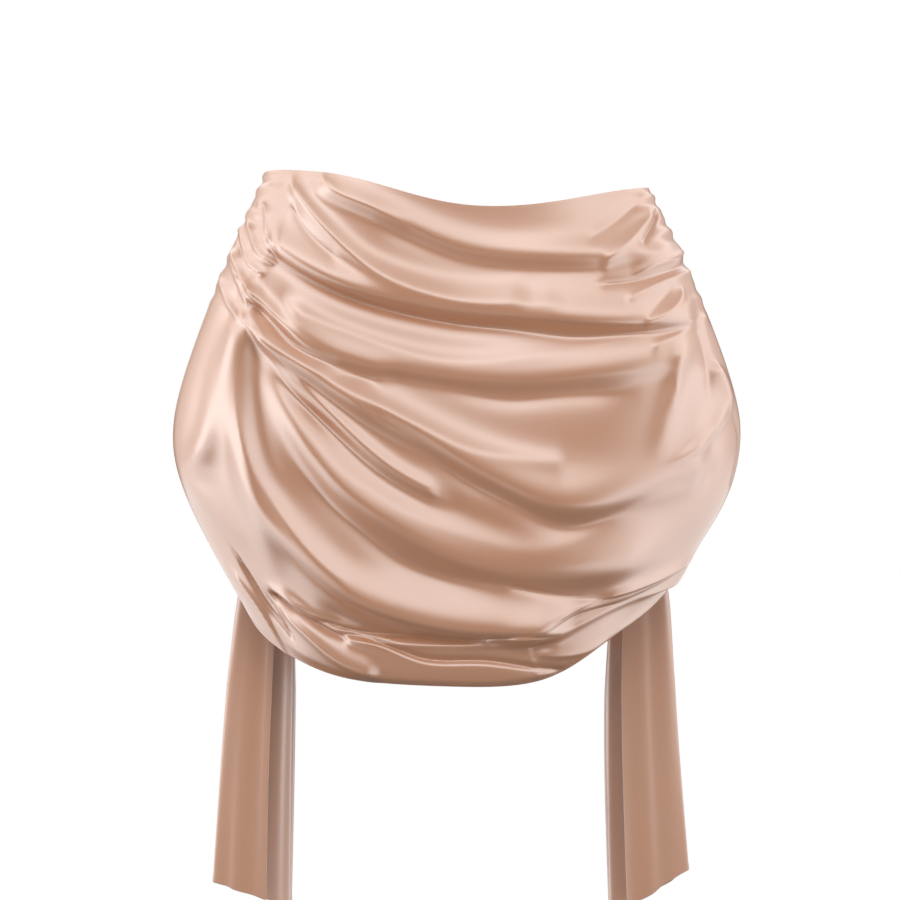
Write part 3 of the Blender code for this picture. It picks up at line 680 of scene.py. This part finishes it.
# studio: pale floor far below and a white surround to the eye; to the cloth the floor is dim under
# the stole and glows far out at both sides, and the surround glows from above and from both sides,
# less towards the front. Each From pair gives the values of the direction between which a glow
# rises, or fades for topFade. Lamps: name, place, size, power, spread, whether the satin mirrors it
studio = {
    "floorLevel": -1.05, "floorSize": 6.0, "floorCorners": 96, "floorRough": 0.8,
    "floorPale": 0.80, "floorDim": 0.10, "floorGlow": 1.3, "floorGlowFrom": (0.7, 1.7),
    "surround": 1.0, "ambient": 0.03, "white": (1.0, 1.0, 1.0, 1.0),
    "leftGlow": 1.35, "leftFrom": (0.35, 0.75), "rightGlow": 1.2, "rightFrom": (-0.25, -0.65),
    "sideLow": (-0.95, -0.55), "farFrom": (-0.75, 0.15), "farDim": 0.6,
    "topGlow": 1.9, "topFrom": (0.32, 0.60), "topFade": (0.60, 0.90), "zenith": 0.25,
    "lamps": (
        ("leftLamp", (3.6, 1.1, 0.3), 3.0, 8.0, 90.0, True),
        ("rightLamp", (-3.6, 1.4, 0.5), 3.0, 4.0, 90.0, True),
        ("topLamp", (0.9, 1.9, 3.4), 2.8, 6.0, 90.0, True),
        ("frontLamp", (0.6, -3.4, 1.6), 3.0, 6.0, 90.0, True),
        ("backFill", (0.0, 5.3, 2.1), 3.0, 80.0, 180.0, False),
        ("frontFill", (0.0, -4.8, 3.6), 3.0, 60.0, 180.0, False),
    ),
}


# grey between two values by the camera-ray mark
def eyeSwitch(tree, other, eye):
    path, span = tree.nodes.new("ShaderNodeLightPath"), tree.nodes.new("ShaderNodeMapRange")
    tree.links.new(path.outputs["Is Camera Ray"], span.inputs["Value"])
    for socket, value in (("To Min", other), ("To Max", eye)):
        if isinstance(value, float):
            span.inputs[socket].default_value = value
        else:
            tree.links.new(value, span.inputs[socket])
    return span.outputs["Result"]


# smooth rise of a value between two limits, from one strength to another
def glowRamp(tree, value, limits, strength):
    span = tree.nodes.new("ShaderNodeMapRange")
    span.interpolation_type = "SMOOTHSTEP"
    tree.links.new(value, span.inputs["Value"])
    span.inputs["From Min"].default_value, span.inputs["From Max"].default_value = limits
    span.inputs["To Min"].default_value, span.inputs["To Max"].default_value = strength
    return span.outputs["Result"]


# one number from one or two by an operation
def combine(tree, operation, first, second=None):
    node = tree.nodes.new("ShaderNodeMath")
    node.operation = operation
    tree.links.new(first, node.inputs[0])
    if second is not None:
        tree.links.new(second, node.inputs[1])
    return node.outputs["Value"]


# the three parts of a coordinate
def coordinateParts(tree, kind):
    place, parts = tree.nodes.new("ShaderNodeTexCoord"), tree.nodes.new("ShaderNodeSeparateXYZ")
    tree.links.new(place.outputs[kind], parts.inputs["Vector"])
    return parts.outputs["X"], parts.outputs["Y"], parts.outputs["Z"]


# floor: pale to the eye; to the cloth dim, with a glow that rises with the distance to either side
def addFloor(s):
    bpy.ops.mesh.primitive_circle_add(vertices=s["floorCorners"], radius=s["floorSize"], fill_type="NGON",
                                      location=(0, 0, s["floorLevel"]))
    floor = bpy.context.object
    floor.name = "floor"
    paint = bpy.data.materials.new("floorPaint")
    paint.use_nodes = True
    tree = paint.node_tree
    shader = tree.nodes["Principled BSDF"]
    tree.links.new(eyeSwitch(tree, s["floorDim"], s["floorPale"]), shader.inputs["Base Color"])
    shader.inputs["Roughness"].default_value = s["floorRough"]
    aside = combine(tree, "ABSOLUTE", coordinateParts(tree, "Object")[0])
    sides = glowRamp(tree, aside, s["floorGlowFrom"], (0.0, s["floorGlow"]))
    shader.inputs["Emission Color"].default_value = s["white"]
    tree.links.new(eyeSwitch(tree, sides, 0.0), shader.inputs["Emission Strength"])
    floor.data.materials.append(paint)


# lamps: square areas turned towards the middle of the stole
def addLamps(s):
    for name, place, size, power, spread, shines in s["lamps"]:
        data = bpy.data.lights.new(name, "AREA")
        data.size = size
        data.energy = power
        data.spread = math.radians(spread)
        lamp = bpy.data.objects.new(name, data)
        lamp.location = place
        toward = -np.array(place) / np.linalg.norm(place)
        lamp.rotation_euler = (math.acos(-toward[2]), 0.0, math.atan2(toward[1], toward[0]) - math.pi / 2)
        lamp.visible_camera = False
        lamp.visible_glossy = shines
        bpy.context.scene.collection.objects.link(lamp)


# surround: white to the eye; to the cloth the stronger of two glows, one that rises with the lean to
# either side and fades far down and towards the front, and one that rises and fades with the height
def addSurround(s):
    world = bpy.data.worlds.new("studio")
    bpy.context.scene.world = world
    world.use_nodes = True
    tree = world.node_tree
    sky = tree.nodes["Background"]
    sky.inputs["Color"].default_value = s["white"]
    across, back, up = coordinateParts(tree, "Generated")
    aside = combine(tree, "MAXIMUM", glowRamp(tree, across, s["leftFrom"], (0.0, s["leftGlow"])),
                    glowRamp(tree, across, s["rightFrom"], (0.0, s["rightGlow"])))
    aside = combine(tree, "MULTIPLY", aside, glowRamp(tree, back, s["farFrom"], (s["farDim"], 1.0)))
    aside = combine(tree, "MULTIPLY", aside, glowRamp(tree, up, s["sideLow"], (0.0, 1.0)))
    above = glowRamp(tree, up, s["topFrom"], (s["ambient"], s["topGlow"]))
    above = combine(tree, "MULTIPLY", above, glowRamp(tree, up, s["topFade"], (1.0, s["zenith"])))
    glow = combine(tree, "MAXIMUM", aside, above)
    tree.links.new(eyeSwitch(tree, glow, s["surround"]), sky.inputs["Strength"])
    bpy.context.scene.view_settings.view_transform = "Standard"


addFloor(studio)
addLamps(studio)
addSurround(studio)
print("studio lit")
